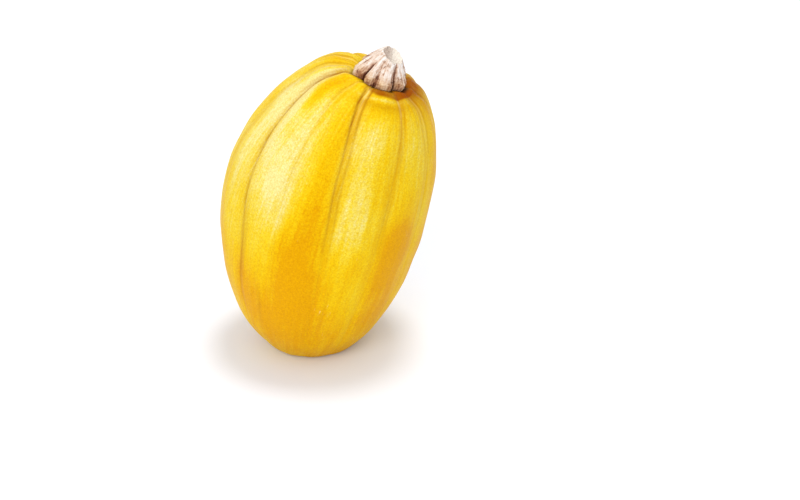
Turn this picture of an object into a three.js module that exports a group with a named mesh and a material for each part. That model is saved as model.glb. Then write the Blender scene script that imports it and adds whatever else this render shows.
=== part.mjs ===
// A spaghetti squash: one ripe, whole, yellow fruit that stands on its flattened blossom end and leans
// a little to one side, with the dry, corky stub of its stem still on top.
// Millimetres, +Z up. The origin is the middle of the flat spot that the fruit stands on.
// Two solids: "fruit" (the ribbed body) and "stem" (the flared stub, seated in the fruit's stem dimple).

import * as THREE from "three";
import { mergeVertices } from "three/addons/utils/BufferGeometryUtils.js";

const { clamp, degToRad, lerp, smoothstep } = THREE.MathUtils;

// --- driving dimensions of the fruit -----------------------------------------------------------------

const fruit = {
  halfWidth: 69, // widest radius, mm
  halfLength: 118.2, // from the middle to either end, along the fruit's own long axis
  blossomBluntness: 1.0, // 1 is a round end, and less is a blunter one
  stemBluntness: 0.96,
  bow: new THREE.Vector2(9, -5), // how far both ends curve aside from a straight long axis
  dimpleDepth: 15, // the hollow that the stem stands in
  dimpleRadius: 19,
  dimpleAside: new THREE.Vector2(2.5, -14.5), // the hollow lies a little off the end of the long axis
  furrowDepth: 1.7, // of a full furrow on the upper half
  shoulderGain: 0.6, // how much deeper the furrows get on the shoulder round the stem
  shoulderDrop: 5.5, // the right shoulder is lower, and the left one higher, by this
};

// How the fruit stands: the lean of its long axis, the height of its middle over the surface,
// and where the middle lies sideways of the flat spot.
const stance = {
  leanSideways: degToRad(14),
  leanForwards: degToRad(4),
  middleHeight: 106.3,
  middleAside: new THREE.Vector2(10.5, -1.3),
  edgeRounding: 3, // soft edge of the flat spot
};

// The furrows between the ribs: azimuth at the stem end and at the blossom end, in degrees from the
// front, counted towards the fruit's right, how late the furrow turns aside on its way to the stem, and
// depth as a share of furrowDepth.
const furrows = [
  { stem: -16, blossom: 3, curve: 4, depth: 1.0 },
  { stem: 38, blossom: 31, curve: 8, depth: 0.85 },
  { stem: 61, blossom: 60, curve: 4, depth: 0.6 },
  { stem: 88, blossom: 90, curve: 4, depth: 0.85 },
  { stem: 119, blossom: 117, curve: 4, depth: 0.55 },
  { stem: 147, blossom: 150, curve: 4, depth: 0.95 },
  { stem: 178, blossom: 181, curve: 4, depth: 0.6 },
  { stem: 209, blossom: 208, curve: 4, depth: 0.9 },
  { stem: 240, blossom: 245, curve: 4, depth: 0.6 },
  { stem: 266, blossom: 277, curve: 3, depth: 0.8 },
  { stem: 286, blossom: 314, curve: 2, depth: 0.95 },
  { stem: 319, blossom: 334, curve: 3, depth: 0.4 },
];

// Across a furrow: the tight crease's part of the depth, and both widths as shares of a rib.
const furrowSection = { creaseDepth: 0.55, creaseWidth: 0.15, valleyWidth: 0.4 };

// The slow unevenness of a grown fruit: two waves round it, which twist along it.
const unevenness = [
  { waves: 2, height: 0.7, phase: 1.1, twist: 1.7 },
  { waves: 3, height: 0.5, phase: -0.6, twist: -3.1 },
];

// Broad swellings and flats: azimuth in degrees from the front, place along the fruit, width in degrees,
// length along, and height in mm.
const swellings = [
  { at: -80, along: 0.62, width: 42, length: 0.3, height: -2.4 },
  { at: -118, along: 0.93, width: 45, length: 0.1, height: 1.8 },
  { at: 62, along: 0.93, width: 30, length: 0.06, height: -1.6 },
];

// --- driving dimensions of the stem stub -------------------------------------------------------------

const stem = {
  height: 22.5, // from the fruit to the cut, along the fruit's axis
  footRadius: 17.5, // the flared foot, over its toes
  neckRadius: 6.7, // at the cut
  flare: 1.15, // how quickly the foot narrows to the neck
  rise: 1.25, // how quickly the flank rises from the foot
  toeThickness: 3.2, // of the foot's rounded rim
  lean: 4.3, // how far the cut lies to the fruit's right of the foot's middle
  twist: degToRad(12), // of the ridges, from the foot to the cut
  cutTilt: 0.45, // rise of the cut face across itself, mm per mm
  cutTiltTowards: degToRad(137), // the rim is highest at this azimuth, at the back left
  cutHollow: 3, // the pith has shrunk below the cut's rim
  clearance: 0.8, // between the foot and the fruit's skin
  grooveWidth: degToRad(11), // half width of a groove between two ridges
};

// The grooves between the stem's ridges: azimuth in degrees from the front, and depth as a share of
// the radius at the foot.
const grooves = [
  { at: -47, depth: 0.28 },
  { at: -14, depth: 0.24 },
  { at: 41, depth: 0.34 },
  { at: 97, depth: 0.26 },
  { at: 133, depth: 0.3 },
  { at: 168, depth: 0.22 },
  { at: 207, depth: 0.32 },
  { at: 250, depth: 0.26 },
];

// --- how finely the two surfaces are divided ----------------------------------------------------------

const ringsOnFruit = 46;
const ringsTowardsEnds = 0.05; // how much the rings crowd towards both ends
const columnsInRib = [0, 0.07, 0.18, 0.34, 0.5, 0.66, 0.82, 0.93];
const columnsInRidge = [0, 0.12, 0.32, 0.56, 0.8];
const ringsOnFlank = 14;
const ringsOnFoot = 7;
const ringsOnCut = 3;

const front = -Math.PI / 2; // the front faces -Y
const turn = 2 * Math.PI;

// Azimuth in radians of an angle counted from the front.
const azimuthOf = (degreesFromFront) => front + degToRad(degreesFromFront);

// The two neighbours round an azimuth in a sorted ring of azimuths, and the share of the way between.
function between(ring, azimuth) {
  for (let i = 0; i < ring.length; i++) {
    const next = (i + 1) % ring.length;
    const span = THREE.MathUtils.euclideanModulo(ring[next] - ring[i], turn);
    const past = THREE.MathUtils.euclideanModulo(azimuth - ring[i], turn);
    if (past <= span + 1e-9) return { i, next, span, share: clamp(past / span, 0, 1) };
  }
  throw new Error("the ring of azimuths has a gap");
}

// A furrow seen across one rib: 1 in the furrow, with a tight crease inside a wide, soft valley.
function furrowShape(share) {
  const { creaseDepth, creaseWidth, valleyWidth } = furrowSection;
  const crease = Math.exp(-((share / creaseWidth) ** 1.4));
  const valley = Math.exp(-((share / valleyWidth) ** 2));
  return lerp(valley, crease, creaseDepth);
}

function furrowAzimuths(along) {
  const turned = ({ curve }) => ((along + 1) / 2) ** curve;
  return furrows.map((furrow) => azimuthOf(lerp(furrow.blossom, furrow.stem, turned(furrow))));
}

// How deep the skin is sunk at a place: along runs from -1 at the blossom end to 1 at the stem.
function furrowSink(azimuth, along, radius) {
  const { i, next, share } = between(furrowAzimuths(along), azimuth);
  const here = furrows[i].depth * furrowShape(share) + furrows[next].depth * furrowShape(1 - share);
  const shoulder = 1 + fruit.shoulderGain * smoothstep(along, 0.45, 0.95);
  const blossomEnd = lerp(0.3, 1, smoothstep(along, -0.95, 0.1));
  const nearAxis = smoothstep(radius, 3, 26);
  return fruit.furrowDepth * here * shoulder * blossomEnd * nearAxis;
}

function lumps(azimuth, along) {
  const wave = ({ waves, height, phase, twist }) =>
    height * Math.sin(waves * azimuth + phase + twist * along);
  const bell = ({ at, along: middle, width, length, height }) => {
    const aside = THREE.MathUtils.euclideanModulo(azimuth - azimuthOf(at) + Math.PI, turn) - Math.PI;
    return height * Math.exp(-((aside / degToRad(width)) ** 2) - ((along - middle) / length) ** 2);
  };
  const waves = (wave(unevenness[0]) + wave(unevenness[1])) * (1 - along * along);
  return swellings.reduce((total, swelling) => total + bell(swelling), waves);
}

// The fruit's side outline: [radius, height along the long axis] at a polar angle from the blossom end.
function fruitOutline(polar) {
  const along = -Math.cos(polar);
  const bluntness = lerp(fruit.blossomBluntness, fruit.stemBluntness, (along + 1) / 2);
  const radius = fruit.halfWidth * Math.sin(polar) ** bluntness;
  const hollow = along > 0 ? Math.exp(-((radius / fruit.dimpleRadius) ** 2)) : 0;
  return new THREE.Vector2(radius, fruit.halfLength * along - fruit.dimpleDepth * hollow);
}

// Where the middle of the fruit's cross-section lies, along its length.
function centreLine(along) {
  const nearStem = Math.max(along, 0) ** 3;
  return new THREE.Vector2(
    fruit.bow.x * along ** 2 + fruit.dimpleAside.x * nearStem,
    fruit.bow.y * along ** 2 + fruit.dimpleAside.y * nearStem,
  );
}

// A point of the skin in the fruit's own frame (long axis along Z), moved out along its normal by lift.
function skinPoint(polar, azimuth, lift = 0) {
  const step = 1e-3;
  const along = -Math.cos(polar);
  const at = fruitOutline(polar);
  const before = fruitOutline(Math.max(polar - step, 1e-6));
  const after = fruitOutline(Math.min(polar + step, Math.PI - 1e-6));
  const outward = new THREE.Vector2(after.y - before.y, before.x - after.x).normalize();
  const out = lift + lumps(azimuth, along) - furrowSink(azimuth, along, at.x);
  const radius = Math.max(at.x + outward.x * out, 0);
  const sideways = (radius * Math.cos(azimuth)) / fruit.halfWidth;
  const drop = fruit.shoulderDrop * sideways * smoothstep(along, 0.2, 1);
  const height = at.y + outward.y * out - drop;
  const centre = centreLine(along);
  return new THREE.Vector3(
    centre.x + radius * Math.cos(azimuth),
    centre.y + radius * Math.sin(azimuth),
    height,
  );
}

// The move from the fruit's own frame to where it stands.
const standing = new THREE.Matrix4()
  .makeTranslation(stance.middleAside.x, stance.middleAside.y, stance.middleHeight)
  .multiply(new THREE.Matrix4().makeRotationX(stance.leanForwards))
  .multiply(new THREE.Matrix4().makeRotationY(stance.leanSideways));

// Presses what would reach below the surface flat onto it, with a soft edge.
function restOnSurface(point) {
  const soft = stance.edgeRounding;
  if (point.z < -soft) point.z = 0;
  else if (point.z < soft) point.z = (point.z + soft) ** 2 / (4 * soft);
  return point;
}

// A closed surface from rings of points that run from a first pole to a last one.
function closedSurface(firstPole, rings, lastPole) {
  const count = rings[0].length;
  const points = [firstPole, ...rings.flat(), lastPole];
  const last = points.length - 1;
  const index = [];
  for (let k = 0; k < count; k++) {
    const next = (k + 1) % count;
    index.push(0, 1 + next, 1 + k);
    index.push(last, last - count + k, last - count + next);
    for (let ring = 0; ring < rings.length - 1; ring++) {
      const low = 1 + ring * count;
      const high = low + count;
      index.push(low + k, low + next, high + next, low + k, high + next, high + k);
    }
  }
  const geometry = new THREE.BufferGeometry().setFromPoints(points);
  geometry.setIndex(index);
  const merged = mergeVertices(geometry, 1e-4);
  merged.computeVertexNormals();
  return merged;
}

function fruitGeometry() {
  const place = (polar, azimuth) => restOnSurface(skinPoint(polar, azimuth).applyMatrix4(standing));
  const rings = [];
  for (let ring = 1; ring < ringsOnFruit; ring++) {
    const share = ring / ringsOnFruit;
    const polar = Math.PI * (share - ringsTowardsEnds * Math.sin(2 * Math.PI * share));
    const edges = furrowAzimuths(-Math.cos(polar));
    const row = edges.flatMap((start, i) => {
      const end = edges[(i + 1) % edges.length] + (i === edges.length - 1 ? turn : 0);
      return columnsInRib.map((across) => place(polar, lerp(start, end, across)));
    });
    rings.push(row);
  }
  return closedSurface(place(0, front), rings, place(Math.PI, front));
}

// --- the stem stub, built in the fruit's own frame ----------------------------------------------------

const grooveAzimuths = grooves.map(({ at }) => azimuthOf(at));

// How far a groove cuts in at an azimuth, as a share of the radius.
function grooveCut(azimuth) {
  const { i, next, span, share } = between(grooveAzimuths, azimuth);
  const width = stem.grooveWidth / span;
  const shape = (away) => Math.exp(-((away / width) ** 1.5));
  return grooves[i].depth * shape(share) + grooves[next].depth * shape(1 - share);
}

// The foot's radius at an azimuth: a toe under each ridge, notched at each groove.
const footRadius = (azimuth) =>
  stem.footRadius * (1.07 - 1.05 * grooveCut(azimuth)) + 0.9 * Math.sin(2 * azimuth + 0.5);

// The neck is rounder, with the same grooves worn shallow.
const neckRadius = (azimuth) => stem.neckRadius * (1.04 - 0.55 * grooveCut(azimuth));

// The polar angle at which the skin, round an azimuth, is a given radius from the fruit's axis.
function polarAtRadius(radius, azimuth) {
  let [near, far] = [Math.PI / 2, Math.PI - 1e-4];
  for (let i = 0; i < 30; i++) {
    const middle = (near + far) / 2;
    const skin = skinPoint(middle, azimuth);
    const centre = centreLine(-Math.cos(middle));
    const reach = Math.hypot(skin.x - centre.x, skin.y - centre.y);
    if (reach > radius) near = middle;
    else far = middle;
  }
  return (near + far) / 2;
}

const seatPoint = (radius, azimuth) => skinPoint(polarAtRadius(radius, azimuth), azimuth, stem.clearance);

const cutMiddle = skinPoint(Math.PI, front).add(new THREE.Vector3(stem.lean, 0, stem.height));

// A point of the flank: share runs from 0 at the toes to 1 at the rim of the cut.
function flankPoint(share, azimuth) {
  const foot = footRadius(azimuth);
  const neck = neckRadius(azimuth);
  const seat = seatPoint(foot, azimuth);
  const outward = (angle) => new THREE.Vector3(Math.cos(angle), Math.sin(angle), 0);
  const middle = seat.clone().addScaledVector(outward(azimuth), -foot).lerp(cutMiddle, share);
  const turned = azimuth - stem.twist * share;
  const rim = cutMiddle.z + stem.cutTilt * neck * Math.cos(turned - stem.cutTiltTowards);
  const narrowed = neck + (foot - neck) * (1 - share) ** stem.flare;
  const toe = stem.toeThickness * smoothstep(share, 0, 0.1) * (1 - share);
  const point = middle.addScaledVector(outward(turned), narrowed);
  point.z = lerp(seat.z, rim, 1 - (1 - share) ** stem.rise) + toe;
  return point;
}

function cutPoint(share, azimuth) {
  const point = cutMiddle.clone().lerp(flankPoint(1, azimuth), share);
  point.z -= stem.cutHollow * (1 - share ** 2);
  return point;
}

function stemGeometry() {
  const azimuths = grooveAzimuths.flatMap((start, i) => {
    const end = i === grooveAzimuths.length - 1 ? grooveAzimuths[0] + turn : grooveAzimuths[i + 1];
    return columnsInRidge.map((share) => lerp(start, end, share));
  });
  const ringOf = (pointAt) => azimuths.map((azimuth) => pointAt(azimuth));
  const rings = [];
  for (let k = 1; k <= ringsOnFoot; k++) {
    rings.push(ringOf((azimuth) => seatPoint((footRadius(azimuth) * k) / ringsOnFoot, azimuth)));
  }
  for (let k = 1; k <= ringsOnFlank; k++) {
    rings.push(ringOf((azimuth) => flankPoint((k / ringsOnFlank) ** 1.2, azimuth)));
  }
  for (let k = ringsOnCut - 1; k > 0; k--) {
    rings.push(ringOf((azimuth) => cutPoint(k / ringsOnCut, azimuth)));
  }
  const underside = skinPoint(Math.PI, front, stem.clearance);
  return closedSurface(underside, rings, cutPoint(0, front));
}

// --- the two meshes ------------------------------------------------------------------------------------

const skin = new THREE.MeshStandardMaterial({ color: 0xf2c322, roughness: 0.42, metalness: 0 });
const cork = new THREE.MeshStandardMaterial({ color: 0xcbb09b, roughness: 0.9, metalness: 0 });

const fruitMesh = new THREE.Mesh(fruitGeometry(), skin);
fruitMesh.name = "fruit";

const stemMesh = new THREE.Mesh(stemGeometry(), cork);
stemMesh.name = "stem";
stemMesh.applyMatrix4(standing);

const spaghettiSquash = new THREE.Group();
spaghettiSquash.add(fruitMesh, stemMesh);

export default spaghettiSquash;
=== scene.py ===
# A whole spaghetti squash that stands on its blossom end: a fine, ribbed skin and a corky stem stub
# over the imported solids, on a pale floor in soft light.

import math
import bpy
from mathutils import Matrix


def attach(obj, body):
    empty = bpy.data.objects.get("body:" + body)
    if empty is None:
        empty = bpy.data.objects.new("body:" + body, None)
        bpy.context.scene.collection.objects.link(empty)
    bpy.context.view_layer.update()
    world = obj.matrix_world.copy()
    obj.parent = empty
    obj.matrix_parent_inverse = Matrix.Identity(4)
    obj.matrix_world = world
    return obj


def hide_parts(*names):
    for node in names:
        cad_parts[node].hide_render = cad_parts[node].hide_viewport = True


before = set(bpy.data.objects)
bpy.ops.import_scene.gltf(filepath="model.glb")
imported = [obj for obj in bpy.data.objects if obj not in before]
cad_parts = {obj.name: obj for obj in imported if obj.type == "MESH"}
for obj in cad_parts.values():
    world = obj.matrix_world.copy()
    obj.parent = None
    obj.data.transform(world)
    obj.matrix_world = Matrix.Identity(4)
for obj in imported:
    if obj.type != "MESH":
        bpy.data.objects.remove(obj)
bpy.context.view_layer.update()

from types import SimpleNamespace

import bpy
import numpy as np
from mathutils import Vector

print("frame loaded")

mm = 0.001  # shapes are worked out in millimetres and put into the meshes in metres
turn = 2 * np.pi
front = -np.pi / 2  # the fruit's front faces -Y


def lerp(a, b, t):
    # a + (b - a) t: a where t is 0, b where it is 1
    return a + (b - a) * t


def smoothStep(x, low, high):
    # 3t^2 - 2t^3, where t is the share of the way from low to high
    t = np.clip((x - low) / (high - low), 0, 1)
    return t * t * (3 - 2 * t)


def bump(x, middle, width):
    # a bell curve: e to the power of minus the square of the way from the middle, in widths
    return np.exp(-(((x - middle) / width) ** 2))


def aside(angle, at, whole=turn):
    # the way from at to the angle, less than 0 clockwise of it, and never more than half of the whole
    return np.mod(angle - at + whole / 2, whole) - whole / 2


def crowded(count, amount):
    # even shares from 0 to below 1, minus a sine, so that they lie closer together at both ends
    share = np.arange(count) / count
    return share - amount * np.sin(turn * share)


def waves(place, wavelength, seed):
    # a sum of cosines in random directions, about -1 to 1, which changes over about one wavelength
    count = 28
    rng = np.random.default_rng(seed)
    directions = rng.normal(size=(3, count))
    directions /= np.linalg.norm(directions, axis=0)
    steps = directions * turn * rng.uniform(0.6, 1.5, count) / wavelength
    return np.cos(place @ steps + rng.uniform(0, turn, count)).sum(-1) * math.sqrt(0.5 / count)


def between(ring, azimuth):
    # ring holds sorted azimuths in its last axis. Gives the neighbour at or before each azimuth, the
    # next one, the angle between the two, and the share of it that lies behind
    past = np.mod(azimuth[..., None] - ring, turn)
    here = past.argmin(-1)
    following = (here + 1) % ring.shape[-1]
    pick = lambda which: np.take_along_axis(np.broadcast_to(ring, past.shape), which[..., None], -1)[..., 0]
    span = np.mod(pick(following) - pick(here), turn)
    return here, following, span, np.clip(past.min(-1) / span, 0, 1)


# Sizes are in mm and places along run from -1 at the blossom end to 1 at the stem. Where a pair is a
# span, an effect grows from its first value to its second
fruit = {
    "halfWidth": 69.0,
    "halfLength": 118.2,
    "blossomBluntness": 1.0,
    "stemBluntness": 0.96,
    "bow": (9.0, -5.0),  # how far both ends bend aside
    "dimpleDepth": 15.0,  # the hollow round the stem
    "dimpleRadius": 19.0,
    "dimpleAside": (2.5, -14.5),
    "shoulderDrop": 5.5,  # how much lower the right shoulder is
    "dropSpan": (0.2, 1),
    "lumps": ((0.7, 2, 1.1, 1.7), (0.5, 3, -0.6, -3.1)),  # height, waves in a turn, start, twist
    "skinLength": 0.82,  # of the skin's own coordinate, for each radian, in half lengths

    "furrowDepth": 1.7,
    "furrowRadii": (3, 26),  # a span: furrows run out at both poles
    "shoulderGain": 0.6,  # how much deeper they are on the shoulder
    "shoulderSpan": (0.45, 0.95),
    "blossomDepth": 0.3,  # what is left of them at the blossom end
    "blossomSpan": (-0.95, 0.1),
    "creaseDepth": 0.55,
    "creaseWidth": 0.15,
    "creasePower": 1.4,
    "valleyWidth": 0.4,

    "leanSideways": math.radians(14),
    "leanForwards": math.radians(4),
    "middle": (10.5, -1.3, 106.3),
    "edgeRounding": 3.0,

    "rings": 236,
    "ringCrowding": 0.05,  # towards the poles
    "columnsInRib": 32,
    "columnCrowding": 0.1,  # towards the furrows

    "dentDepth": 0.35,  # slow unevenness, over dentWidth
    "dentWidth": 34.0,
    "flutingDepth": 0.10,  # fine ridges along the skin
    "flutingWidth": 6.0,
    "flutingStretch": 0.07,  # how much slower they change along it
    "flutingGain": 1.4,  # how much deeper they are near the stem
    "lineDepth": 0.45,  # the brown lines in a furrow are fine creases
    "lineWidth": 0.85,
    "lineApart": 2.1,
    "lineSpan": (-0.6, 0.7),
    "lineStrength": (0.8, 1.9),  # away from the stem and next to it
    "lineWander": 0.9,  # how far they leave the furrow's middle, over wanderLength
    "wanderLength": 46,
    "wanderRadii": (20, 60),
    "patchLength": 30,  # over which their strength changes
    "lipHeight": 0.3,  # the pale line is a fine ridge
    "lipWidth": 0.8,
    "lipSpan": (0.30, 0.85),  # a span of nearness to the stem
    "valleyShadeWidth": 5.5,
    "collarHeight": 0.9,  # the ring of flesh round the stem
    "collarAt": (4.5, 2.6),  # distance from the foot, and width
    "collarDip": (12, 4.5),
    "nearStem": 34,  # over which what grows towards the stem fades
    "clearRadii": (6, 30),  # a span: the fine relief runs out at the poles

    "golden": 0.38,  # how golden the skin is at the stem
    "goldenGain": 0.42,  # how much more so at the blossom end
    "goldenSpan": (-0.25, 0.70),
    "goldenPatches": (0.10, 55),  # amount and size
    "washWander": (3.5, 26),  # in degrees, over this length
    "strokeWidth": 1.1,
    "palest": (0.50, 0.12),  # a span of gold
    "lineInPale": 0.70,  # lines and valleys are fainter where the skin is palest
    "valleyInPale": 0.35,

    # painted shade round the stem, a painted highlight on its collar, and a painted shadow where stem and
    # skin meet
    "rightSide": (62, 62),  # sides of the stem: degrees from the front, and width
    "farRight": (92, 42),
    "inFront": (10, 34),
    "shadeReach": (1.5, 8.2),  # of the shade round the stem, on the left and on the right
    "reachSpan": (-24, 4),  # in degrees
    "shadeEdge": (-1.7, 1.3),
    "farShade": (1.15, 4, 15),  # amount, distance from the toes, and width
    "outerShade": (0.30, 15.5, 3.0),
    "gleam": (0.40, 11.0, 1.5),
    "contactWidth": (0.8, 2.6),  # of the dark line at the stem, on the left and on the right
    "contactStrength": (0.5, 1),
    "blossomRadius": 7,
}

# Each furrow's azimuth at the stem and at the blossom end, in degrees from the front, how late it turns
# aside on its way to the stem, and its depth. Then how strong its brown lines are on the left, in the
# middle and on the right, how strong its pale line is, and how far that lies to the right, in mm
furrows = np.array([
    (-16, 3, 4, 1.0, 0.9, 0.2, 0.6, 0.9, 0.0),
    (38, 31, 8, 0.85, 0.0, 0.5, 0.3, 0.9, -0.6),
    (61, 60, 4, 0.6, 0.2, 0.0, 0.3, 0.7, 0.0),
    (88, 90, 4, 0.85, 0.0, 0.7, 0.0, 0.5, 1.8),
    (119, 117, 4, 0.55, 0.3, 0.0, 0.4, 0.6, 0.0),
    (147, 150, 4, 0.95, 0.8, 0.2, 0.7, 0.8, 0.0),
    (178, 181, 4, 0.6, 0.0, 0.5, 0.2, 0.5, -1.6),
    (209, 208, 4, 0.9, 0.2, 0.9, 0.0, 0.7, 1.7),
    (240, 245, 4, 0.6, 0.5, 0.0, 0.3, 0.6, 0.0),
    (266, 277, 3, 0.8, 0.4, 0.1, 0.3, 0.4, 0.0),
    (286, 314, 2, 0.95, 0.3, 1.0, 0.0, 0.9, 1.8),
    (319, 334, 3, 0.4, 0.0, 0.22, 0.0, 0.2, 1.2),
])

# Washes of gold over the paler skin, which follow the ribs: azimuth at the blossom end in degrees from
# the front, place along, width in degrees, length along, and how much deeper (or paler) the gold gets.
# The pale washes on the upper left are partly a painted highlight, and the deep ones low on the right
# partly painted shade
washes = np.array([
    # partly painted shade, low on the side away from the light
    (44, 0.0, 10, 0.24, 0.58),  # the ochre low on the right
    (50, -0.32, 13, 0.26, 0.4),
    (48, 0.04, 5, 0.13, 0.24),
    # partly a painted highlight, on the side that the light falls on
    (-52, 0.45, 36, 0.5, -0.22),  # the palest side
    (-52, 0.86, 8, 0.12, -0.38),
    (-40, 0.34, 9, 0.24, -0.14),
    (-78, 0.7, 9, 0.2, -0.28),
    (-84, 0.25, 9, 0.32, 0.22),
    (12, 0.7, 8, 0.13, -0.28),
    (-38, -0.42, 7, 0.24, 0.2),
    (-27, -0.64, 9, 0.2, 0.22),
    (92, 0.1, 10, 0.6, 0.22),
    (-7.5, 0.25, 7, 0.55, 0.55),  # the ochre band left of the front furrow
    (-11.5, -0.25, 12, 0.35, 0.36),
    (-19.5, 0.05, 4, 0.22, 0.26),
    (-2, -0.55, 22, 0.25, 0.2),
    (-36, 0.82, 4.5, 0.11, 0.5),
    (-42, 0.68, 3.5, 0.16, -0.28),
    (-32, 0.92, 8, 0.05, 0.25),
    (-29, 0.58, 5, 0.24, -0.16),
    (16, 0.86, 15, 0.1, 0.34),
    (10, 0.58, 10, 0.22, 0.1),
    (14, 0.42, 4.5, 0.3, -0.22),  # the lemon streak right of the front furrow
    (12, 0.03, 4, 0.13, -0.12),
    (17, 0.05, 6, 0.3, -0.1),
    (46, 0.45, 12, 0.5, 0.04),
    (50, 0.08, 14, 0.16, 0.26),
    (66, 0.25, 10, 0.45, 0.1),
    (76, 0.3, 9, 0.8, 0.42),
    (-75, -0.25, 9, 0.3, 0.26),
    (-45, -0.38, 4, 0.22, 0.3),
    (-29, 0.28, 8, 0.28, -0.16),
    (-60, 0.6, 9, 0.2, -0.26),
    (-55, -0.02, 8, 0.12, -0.12),
    (-107, 0.93, 14, 0.05, 0.4),
    (104, 0.2, 10, 0.5, 0.25),
    (128, 0.5, 9, 0.3, 0.1),
    (141, -0.05, 6, 0.6, 0.5),
    (166, 0.3, 8, 0.3, -0.14),
    (190, 0.7, 12, 0.2, 0.35),
    (213, -0.1, 6, 0.45, 0.46),
    (228, 0.4, 9, 0.3, -0.1),
    (252, -0.3, 10, 0.3, 0.24),
])

# Faint brown lines between the furrows: azimuth at the blossom end, place along, length along, strength
strokes = np.array([
    (-46, -0.16, 0.32, 0.6),
    (-43.5, -0.1, 0.24, 0.25),
    (-33, -0.5, 0.14, 0.3),
    (-16, 0.72, 0.16, 0.16),
    (5, -0.4, 0.18, 0.18),
    (22, 0.3, 0.2, 0.12),
    (-101, 0.9, 0.08, 0.45),
    (-69, 0.8, 0.14, 0.18),
    (47, 0.8, 0.12, 0.18),
    (103, 0.6, 0.22, 0.22),
    (163, 0.2, 0.26, 0.2),
    (196, -0.2, 0.24, 0.22),
    (226, 0.5, 0.2, 0.18),
])


def furrowAzimuths(along):
    # from the azimuth at the blossom end to that at the stem, by a power of the share of the way, so
    # mostly near the stem
    turned = ((np.asarray(along)[..., None] + 1) / 2) ** furrows[:, 2]
    return np.radians(lerp(furrows[:, 1], furrows[:, 0], turned)) + front


def furrowShape(share):
    # a mix of a wide bell, the valley, and a narrow one with a pointed bottom, the crease
    crease = np.exp(-((share / fruit["creaseWidth"]) ** fruit["creasePower"]))
    return lerp(bump(share, 0, fruit["valleyWidth"]), crease, fruit["creaseDepth"])


def furrowSink(azimuth, along, radius):
    # the two furrows beside a place, deeper on the shoulder and fading towards both ends
    here, following, _, share = between(furrowAzimuths(along), azimuth)
    depth = furrows[here, 3] * furrowShape(share) + furrows[following, 3] * furrowShape(1 - share)
    shoulder = 1 + fruit["shoulderGain"] * smoothStep(along, *fruit["shoulderSpan"])
    blossomEnd = lerp(fruit["blossomDepth"], 1, smoothStep(along, *fruit["blossomSpan"]))
    return fruit["furrowDepth"] * depth * shoulder * blossomEnd * smoothStep(radius, *fruit["furrowRadii"])


# Broad swellings and flats: azimuth in degrees from the front, place along, width in degrees, length
# along, and height in mm
swellings = np.array([
    (-80, 0.62, 42, 0.30, -2.4),
    (-118, 0.93, 45, 0.10, 1.8),
    (62, 0.93, 30, 0.06, -1.6),
])


def lumps(azimuth, along):
    # sines round the fruit that twist along it and fade at its ends, and the swellings as bells
    total = sum(height * np.sin(count * azimuth + start + twist * along)
                for height, count, start, twist in fruit["lumps"]) * (1 - along ** 2)
    for at, place, width, length, height in swellings:
        away = aside(azimuth - front, math.radians(at))
        total = total + height * bump(away, 0, math.radians(width)) * bump(along, place, length)
    return total


def fruitOutline(polar):
    # an ellipse with a power on its radius, and a bell-shaped hollow pressed into the stem end
    along = -np.cos(polar)
    bluntness = lerp(fruit["blossomBluntness"], fruit["stemBluntness"], (along + 1) / 2)
    radius = fruit["halfWidth"] * np.abs(np.sin(polar)) ** bluntness
    hollow = np.where(along > 0, bump(radius, 0, fruit["dimpleRadius"]), 0)
    return radius, fruit["halfLength"] * along - fruit["dimpleDepth"] * hollow


def centreLine(along):
    # aside with the square of the place along, and towards the stem with its cube as well
    nearStem = np.maximum(along, 0) ** 3
    bowX, bowY = fruit["bow"]
    asideX, asideY = fruit["dimpleAside"]
    return bowX * along ** 2 + asideX * nearStem, bowY * along ** 2 + asideY * nearStem


def skinPoint(polar, azimuth, lift=0.0):
    # the outline turned round the centre line, and moved out along its normal by lift, lumps and furrows
    step, pole = 1e-3, 1e-6  # the normal is measured over two steps, and never past a pole
    along = -np.cos(polar)
    radius, height = fruitOutline(polar)
    lowRadius, lowHeight = fruitOutline(np.maximum(polar - step, pole))
    highRadius, highHeight = fruitOutline(np.minimum(polar + step, np.pi - pole))
    outR, outZ = highHeight - lowHeight, lowRadius - highRadius
    length = np.hypot(outR, outZ)
    out = lift + lumps(azimuth, along) - furrowSink(azimuth, along, radius)
    reach = np.maximum(radius + outR / length * out, 0)
    toRight = reach * np.cos(azimuth) / fruit["halfWidth"]
    drop = fruit["shoulderDrop"] * toRight * smoothStep(along, *fruit["dropSpan"])
    middleX, middleY = centreLine(along)
    return np.stack([
        middleX + reach * np.cos(azimuth),
        middleY + reach * np.sin(azimuth),
        height + outZ / length * out - drop,
    ], axis=-1)


def stand(points):
    # from the fruit's own frame to where it stands: turned about Y, then about X, then moved
    x, y, z = np.moveaxis(points, -1, 0)
    cosY, sinY = math.cos(fruit["leanSideways"]), math.sin(fruit["leanSideways"])
    cosX, sinX = math.cos(fruit["leanForwards"]), math.sin(fruit["leanForwards"])
    x, z = x * cosY + z * sinY, z * cosY - x * sinY
    y, z = y * cosX - z * sinX, y * sinX + z * cosX
    return np.stack([x, y, z], axis=-1) + fruit["middle"]


def restOnFloor(points):
    # what would reach below the floor is pressed flat onto it, with a parabola as its soft edge
    soft = fruit["edgeRounding"]
    z = points[..., 2]
    points[..., 2] = np.where(z < -soft, 0, np.where(z < soft, (z + soft) ** 2 / (4 * soft), z))
    return points


def skinCoordinates(polar, azimuth):
    # streaks that run along the fruit are drawn in these: a cylinder round it, as long as its skin, in mm
    perRadian = fruit["halfLength"] * fruit["skinLength"]
    return np.stack([
        fruit["halfWidth"] * np.cos(azimuth),
        fruit["halfWidth"] * np.sin(azimuth),
        (np.asarray(polar) - np.pi / 2) * perRadian + 0 * azimuth,
    ], axis=-1)


def addObject(name, data):
    # a new object that holds the data, linked to the scene
    made = bpy.data.objects.new(name, data)
    bpy.context.scene.collection.objects.link(made)
    return made


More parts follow.
